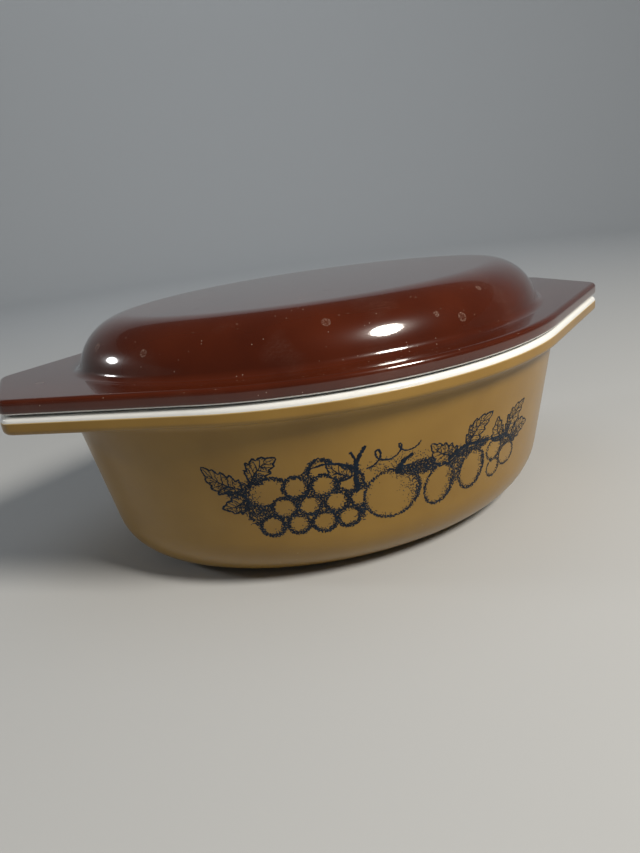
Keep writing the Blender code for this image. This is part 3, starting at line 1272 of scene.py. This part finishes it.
@dataclass
class FruitPrint:
    """A band of stippled fruit and leaves, screened on the wall."""

    dish: DishGlass
    side: Side
    pitch: float = 0.72  # mm between neighbouring places for a dot
    row_pitch: float = 0.866  # from one row of them to the next, in pitches
    jitter: float = 0.3  # shake of each place, in pitches
    dot: float = 0.55  # mm, radius of a full dot
    least_dot: float = 0.52  # share of it that a dot in the thinnest ink has
    dot_top: float = 0.74  # flat top of a dot, as a share of its foot
    line_step: float = 0.55  # mm between the points of a line
    line_shake: float = 0.17  # mm that each of them may stray
    line_top: float = 0.7  # flat top of a line, as a share of its foot
    film: float = 0.05 * MM
    sunk: float = 0.5  # depth of the ink's foot in the enamel, in films
    measured_at: float = 50.0 * MM  # height at which u is true
    seed: int = 21
    span: tuple[float, float, float, float] = (-96.0, 80.0, 27.0, 71.0)  # u and v, from and to

    def elements(self) -> list[Shade | Fruit | Leaf]:
        """Everything that is stippled, from the back to the front.

        Returns:
            The foliage's shade, leaves and fruits in the order in which they are laid.
        """
        rng = np.random.default_rng(self.seed)
        found: list[Shade | Fruit | Leaf] = [
            Shade((-77.0, 50.0), (8.0, 9.5), 0.9),
            Shade((-71.5, 41.0), (7.0, 8.0), 0.9),
            Shade((-43.0, 55.5), (19.0, 6.0), 0.9, tilt=8),
            Shade((-27.5, 43.0), (5.0, 14.5), 1.0),
            Shade((-10.0, 56.5), (17.0, 4.6), 0.35),
            Shade((4.0, 51.0), (14.0, 4.6), 1.0, tilt=-4),
            Shade((22.0, 46.0), (7.5, 11.0), 0.85, tilt=-14),
            Shade((29.0, 52.0), (16.0, 4.0), 1.0, tilt=4),
            Shade((57.0, 48.0), (12.0, 4.6), 0.85, tilt=10),
        ]
        found += self.leaves()[:-1]
        found.append(Fruit((-67.0, 51.6), (9.4, 6.4), tilt=8, skin=0.9, shade=3.0,
                           shaded_to=170, halo=1.8))
        for first, count, height in ((-44.0, 1, 59.5), (-54.0, 3, 52.4), (-61.0, 4, 43.4),
                                     (-66.5, 4, 34.2)):
            for place in range(count):
                wander = rng.uniform(-0.7, 0.7, 2)
                centre = (first + 11.3 * place + wander[0], height + wander[1])
                radius = rng.uniform(4.3, 4.9)
                found.append(Fruit(centre, (radius, radius * 0.95), skin=0.7, shade=1.2,
                                   halo=1.8))
        found += [
            Fruit((-12.0, 41.6), (13.2, 12.0), skin=1.0, shade=5.2, shaded_to=25, halo=1.1),
            Shade((-5.0, 51.6), (9.0, 3.0), 1.0, tilt=-8),
            Fruit((11.8, 39.4), (7.6, 9.8), tilt=-18, skin=0.9, shade=4.2, shaded_to=-10,
                  halo=1.2),
            Fruit((31.0, 40.8), (7.6, 9.4), tilt=-14, skin=0.9, shade=3.0, shaded_to=-10,
                  halo=1.2),
            Fruit((46.4, 45.6), (5.2, 5.0), skin=0.6, shade=1.6, halo=1.1),
            Fruit((46.8, 35.8), (4.6, 4.4), skin=0.5, shade=1.2, halo=0.9),
            Fruit((57.6, 39.6), (6.4, 5.4), skin=0.5, shade=1.2, halo=0.9),
        ]
        return found + self.leaves()[-1:]

    def leaves(self) -> list[Leaf]:
        """The leaves; the last one lies over the fruit.

        Returns:
            The leaves, from the back to the front.
        """
        return [
            Leaf((-77.5, 54.0), (-93.0, 65.5), 5.4, teeth=5),
            Leaf((-73.0, 57.0), (-61.0, 68.0), 5.4, teeth=5, shaded=-1.0),
            Leaf((-76.0, 49.5), (-88.0, 44.5), 4.4),
            Leaf((21.0, 51.0), (6.5, 60.5), 5.4, teeth=5, shaded=-1.0),
            Leaf((27.0, 52.5), (42.5, 66.0), 5.2, teeth=5),
            Leaf((51.5, 49.0), (47.0, 62.0), 4.6, shaded=-1.0),
            Leaf((56.0, 49.0), (70.0, 64.0), 5.4, teeth=5),
            Leaf((60.0, 46.5), (76.5, 50.5), 5.0, shaded=-1.0),
            Leaf((-30.5, 54.0), (-41.0, 63.5), 3.8, teeth=3),
        ]

    def strokes(self) -> list[Stroke]:
        """All the drawn lines.

        Returns:
            Leaf lines, the twigs and the tendril.
        """
        found = [tendril(),
                 twig([(-28.0, 46.0), (-28.8, 53.0), (-28.2, 60.0), (-24.0, 67.5)], 3.2, 0.5),
                 twig([(-28.4, 57.0), (-28.6, 60.5), (-29.4, 63.5), (-31.0, 66.0)], 2.2, 0.6),
                 twig([(-28.0, 57.0), (-34.0, 60.5), (-42.0, 62.0), (-52.0, 58.5)], 1.8),
                 twig([(-9.5, 50.5), (-8.6, 54.0), (-6.8, 56.5), (-2.4, 58.6)], 3.0, 0.6),
                 twig([(16.0, 50.0), (25.0, 54.0), (34.0, 53.5), (46.0, 51.5)], 2.4),
                 twig([(44.0, 51.5), (50.0, 51.0), (56.0, 50.0), (63.0, 44.0)], 2.2)]
        for leaf in self.leaves():
            found += leaf.strokes()
        return found

    def chart(self, u: np.ndarray, v: np.ndarray, stand: np.ndarray) -> np.ndarray:
        """Carries print coordinates on to the enamelled wall.

        The way u is measured round the wall's oval at half height and turned into the angle
        of its normal; v sets the height, and so the inset; the point then stands off along
        the wall's normal, which leans down by the draft.

        Args:
            u: millimetres to the right of the middle.
            v: millimetres up from the foot.
            stand: metres off the enamel.

        Returns:
            A (..., 3) array of places.
        """
        fine = np.linspace(-2.2, 2.2, 8001) - math.pi / 2
        ring = self.dish.plan.oval(self.dish.wall_inset(self.measured_at), fine)
        way = np.concatenate([[0], np.cumsum(np.hypot(*np.diff(ring, axis=0).T))])
        way -= np.interp(-math.pi / 2, fine, way)
        angle = np.interp(u * MM, way, fine) + self.side.value
        height = v * MM
        flat = self.dish.plan.oval(self.dish.wall_inset(height), angle)
        lean = math.radians(self.dish.draft)
        off = self.dish.coat + stand
        normal = np.stack([np.cos(angle), np.sin(angle)], -1)
        flat = flat + (off * math.cos(lean))[..., None] * normal
        return np.concatenate([flat, (height - off * math.sin(lean))[..., None]], -1)

    def dots(self) -> tuple[np.ndarray, list[np.ndarray]]:
        """The stipple: six-sided flat droplets on a shaken triangular lattice.

        A lattice place keeps its dot with a chance equal to the ink's density there, and the
        dot is larger where the ink is denser.

        Returns:
            Points and face groups.
        """
        rng = np.random.default_rng(self.seed)
        left, right, low, high = self.span
        u, v = np.meshgrid(np.arange(left, right, self.pitch),
                           np.arange(low, high, self.pitch * self.row_pitch))
        u[1::2] += self.pitch / 2
        u, v = u.ravel(), v.ravel()
        u += rng.uniform(-self.jitter, self.jitter, len(u)) * self.pitch
        v += rng.uniform(-self.jitter, self.jitter, len(v)) * self.pitch
        ink = np.zeros(len(u))
        for element in self.elements():
            ink = element.paint(u, v, ink)
        kept = rng.uniform(0, 1, len(u)) < ink
        u, v, ink = u[kept], v[kept], ink[kept]
        count = len(u)

        share = self.least_dot + (1 - self.least_dot) * ink**2
        size = self.dot * share * rng.uniform(0.8, 1.15, count)
        stretch = rng.uniform(1.0, 1.6, count)
        turn = rng.uniform(0, math.pi, count)
        corner = np.arange(6) * math.pi / 3
        shrink = np.array([1.0, self.dot_top])[:, None]
        long_way = shrink * (size * stretch)[:, None, None] * np.cos(corner)
        short_way = shrink * (size / stretch)[:, None, None] * np.sin(corner)
        cosine, sine = np.cos(turn)[:, None, None], np.sin(turn)[:, None, None]
        levels = np.array([-self.sunk, 1.0])
        stand = rng.uniform(0.7, 1.3, count)[:, None] * self.film * levels
        points = self.chart(
            u[:, None, None] + long_way * cosine - short_way * sine,
            v[:, None, None] + long_way * sine + short_way * cosine,
            np.broadcast_to(stand[:, :, None], (count, 2, 6)))
        base = np.arange(count)[:, None] * 12
        ring, ahead = np.arange(6), (np.arange(6) + 1) % 6
        sides = np.stack([ring, ahead, ahead + 6, ring + 6], -1)
        return points.reshape(-1, 3), [
            (base[:, :, None] + sides).reshape(-1, 4), base + ring[::-1], base + ring + 6]

    def lines(self) -> tuple[np.ndarray, list[np.ndarray]]:
        """The strokes: low ribbons with sloped sides, whose width wanders as ink does.

        Returns:
            Points and face groups.
        """
        rng = np.random.default_rng(self.seed + 1)
        points, faces, total = [], [], 0
        for stroke in self.strokes():
            legs = np.hypot(*np.diff(stroke.path, axis=0).T)
            way = np.concatenate([[0], np.cumsum(legs)])
            count = max(int(way[-1] / self.line_step), 3)
            stops = np.linspace(0, way[-1], count)
            path = np.column_stack([np.interp(stops, way, axis) for axis in stroke.path.T])
            path += rng.uniform(-self.line_shake, self.line_shake, path.shape)
            along = np.gradient(path, axis=0)
            along /= np.linalg.norm(along, axis=1, keepdims=True)
            side = np.column_stack([along[:, 1], -along[:, 0]])
            thin = np.linspace(1, stroke.taper, count)
            half = 0.5 * stroke.width * thin * rng.uniform(0.6, 1.4, count)
            offset = half[:, None] * np.array([-1.0, 1.0, self.line_top, -self.line_top])
            levels = np.array([-self.sunk, -self.sunk, 1.0, 1.0])
            stand = self.film * rng.uniform(0.9, 1.2) * levels
            across = path[:, None, :] + offset[..., None] * side[:, None, :]
            points.append(self.chart(across[..., 0], across[..., 1],
                                     np.broadcast_to(stand, offset.shape)).reshape(-1, 3))
            ring = total + np.arange(count * 4).reshape(count, 4)
            ahead = np.roll(ring, -1, axis=1)
            faces.append(np.stack([ring[:-1], ring[1:], ahead[1:], ahead[:-1]], -1
                                  ).reshape(-1, 4)[:, ::-1])
            faces.append(np.stack([ring[0], ring[-1][::-1]]))
            total += count * 4
        return np.concatenate(points), [np.concatenate(faces)]

    def build(self) -> bpy.types.Object:
        """Builds and dresses the print.

        Returns:
            The piece.
        """
        dots, dot_faces = self.dots()
        lines, line_faces = self.lines()
        faces = dot_faces + [group + len(dots) for group in line_faces]
        piece = build_mesh(f"fruit_print_{self.side.name.lower()}",
                           np.concatenate([dots, lines]), faces)
        piece.data.materials.append(CeramicInk().material())
        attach(piece, "dish")
        return piece


# ---------------------------------------------------------------- the studio


@dataclass(frozen=True)
class Softbox:
    """A soft light with an oval diffuser."""

    name: str
    towards: tuple[float, float, float]  # direction from the lid to the light
    distance: float
    size: tuple[float, float]
    radiance: float
    colour: str
    mirrored: bool = True  # seen in gloss
    faces: tuple[float, float, float] | None = None  # a point that it faces, if not the lid
    turn: float = 0.0  # degrees about its own axis

    def build(self, aim: Vector) -> bpy.types.Object:
        """Places the light; its power is radiance * pi * area of the oval.

        Args:
            aim: the middle of the lid's top, which it is placed from and faces by default.

        Returns:
            The light.
        """
        light = bpy.data.lights.new(self.name, "AREA")
        light.shape = "ELLIPSE"
        light.size, light.size_y = self.size
        light.energy = self.radiance * math.pi**2 / 4 * self.size[0] * self.size[1]
        light.color = linear(self.colour)[:3]
        lamp = bpy.data.objects.new(self.name, light)
        direction = Vector(self.towards).normalized()
        lamp.location = aim + direction * self.distance
        back = lamp.location - (Vector(self.faces) if self.faces else aim)
        turn = Quaternion((0.0, 0.0, 1.0), math.radians(self.turn))
        lamp.rotation_euler = (back.to_track_quat("Z", "Y") @ turn).to_euler()
        lamp.visible_glossy = self.mirrored
        bpy.context.scene.collection.objects.link(lamp)
        return lamp


@dataclass
class Studio:
    """Camera, lights and a pale paper bowl that is the floor and the backdrop all round.

    The bowl is tall behind the casserole and low in front, where the room is dark: the flat
    top mirrors pale paper and the sides stay deep.
    """

    place: tuple[float, float, float] = (-0.13048, -0.33182, 0.16565)
    yaw: float = 0.35283  # from +Y towards +X
    pitch: float = -0.324745
    roll: float = -0.12512
    lens: float = 28.196
    sensor: float = 36.0
    near: float = 0.01  # nearest that the camera sees
    air: str = "#DDE4EA"  # faint light from all round
    air_strength: float = 0.07
    floor_radius: float = 1.6
    floor_rings: int = 19
    wall_round: float = 0.8
    wall_height: float = 1.95
    front_share: float = 0.25  # height of the bowl in front, as a share of that behind
    lights: list[Softbox] = field(default_factory=lambda: [
        Softbox("key_softbox", (0.359, -0.653, 0.667), 1.20, (0.38, 0.24), 73.0, "#FFF8EE",
                turn=52.0),
        Softbox("left_softbox", (-0.877, 0.363, 0.313), 1.10, (0.17, 0.13), 30.0, "#FFFFFF"),
        Softbox("overhead_fill", (0.0, 0.05, 1.0), 1.90, (1.8, 1.8), 0.75, "#F3F8FF",
                mirrored=False),
        Softbox("backdrop_wash", (0.12, 0.35, 0.93), 1.60, (1.3, 0.9), 4.6, "#EEF5FF",
                mirrored=False, faces=(0.7, 2.4, 1.1)),
    ])

    def camera(self) -> bpy.types.Object:
        """Makes the camera from its yaw, pitch and roll.

        Returns:
            The camera.
        """
        ahead = Vector((math.sin(self.yaw) * math.cos(self.pitch),
                        math.cos(self.yaw) * math.cos(self.pitch), math.sin(self.pitch)))
        level = Vector((math.cos(self.yaw), -math.sin(self.yaw), 0.0))
        above = level.cross(ahead)
        right = math.cos(self.roll) * level + math.sin(self.roll) * above
        up = math.cos(self.roll) * above - math.sin(self.roll) * level
        data = bpy.data.cameras.new("camera")
        data.lens, data.sensor_width = self.lens, self.sensor
        data.clip_start = self.near
        camera = bpy.data.objects.new("camera", data)
        turned = Matrix((right, up, -ahead)).transposed().to_4x4()
        camera.matrix_world = Matrix.Translation(self.place) @ turned
        bpy.context.scene.collection.objects.link(camera)
        bpy.context.scene.camera = camera
        return camera

    def backdrop(self) -> bpy.types.Object:
        """A bowl of paper: a flat disc, a quarter round and a wall, turned about +Z.

        Every height is scaled by 1 behind and by front_share in front, and by a cosine ease
        in between.

        Returns:
            The piece.
        """
        bend = np.radians(np.linspace(-90, 0, 25))
        floor = np.linspace(0.02, self.floor_radius, self.floor_rings + 1)[:-1]
        radius = np.concatenate([floor, self.floor_radius + self.wall_round * np.cos(bend),
                                 [self.floor_radius + self.wall_round]])
        height = np.concatenate([np.zeros(len(floor)), self.wall_round * (1 + np.sin(bend)),
                                 [self.wall_height]])
        angle = np.linspace(0, 2 * math.pi, 97)[:-1]
        share = self.front_share + (1 - self.front_share) * (1 + np.sin(angle)) / 2
        grid = np.stack([radius[:, None] * np.cos(angle), radius[:, None] * np.sin(angle),
                         height[:, None] * share], -1)
        index = np.arange(grid[..., 0].size).reshape(grid.shape[:2])
        ahead = np.roll(index, -1, axis=1)
        quads = np.stack([index[:-1], index[1:], ahead[1:], ahead[:-1]], -1).reshape(-1, 4)
        points = np.concatenate([grid.reshape(-1, 3), [[0.0, 0.0, 0.0]]])
        hub = np.stack([np.full(len(angle), len(points) - 1), index[0], ahead[0]], -1)
        paper = build_mesh("paper_backdrop", points, [quads, hub])
        paper.data.materials.append(MattePaper().material())
        return paper

    def build(self, aim: Vector) -> None:
        """Sets the world, the backdrop and the lights.

        Args:
            aim: the middle of the lid's top.
        """
        scene = bpy.context.scene
        scene.view_settings.view_transform = "Standard"
        world = bpy.data.worlds.new("studio_air")
        world.use_nodes = True
        air = world.node_tree.nodes["Background"]
        air.inputs["Color"].default_value = linear(self.air)
        air.inputs["Strength"].default_value = self.air_strength
        scene.world = world
        self.backdrop()
        for light in self.lights:
            light.build(aim)


def main() -> None:
    """Builds the camera, the dish, the lid, the print and the studio, in that order."""
    logging.basicConfig(level=logging.INFO, format="%(name)s: %(message)s")
    studio = Studio()
    studio.camera()

    plan = RimPlan.inside(*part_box("dish"))
    dish_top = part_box("dish")[1].z
    dish = DishGlass(plan, dish_top)
    mouth = dish.wall_inset(dish_top - dish.mouth_round, dish.wall)
    lid_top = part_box("lid")[1].z
    lid = LidGlass(plan, lid_top - LidGlass.flange - LidGlass.dome, mouth)
    angle = plan.angles()

    pieces = dish.build(angle) + lid.build(angle)
    pieces += [FruitPrint(dish, side).build() for side in Side]
    studio.build(Vector((0.0, 0.0, lid_top)))
    for piece in pieces:
        sides = np.empty(len(piece.data.polygons), np.int32)
        piece.data.polygons.foreach_get("loop_total", sides)
        LOG.info("%s: %d triangles", piece.name, int((sides - 2).sum()))


if __name__ == "__main__":
    main()
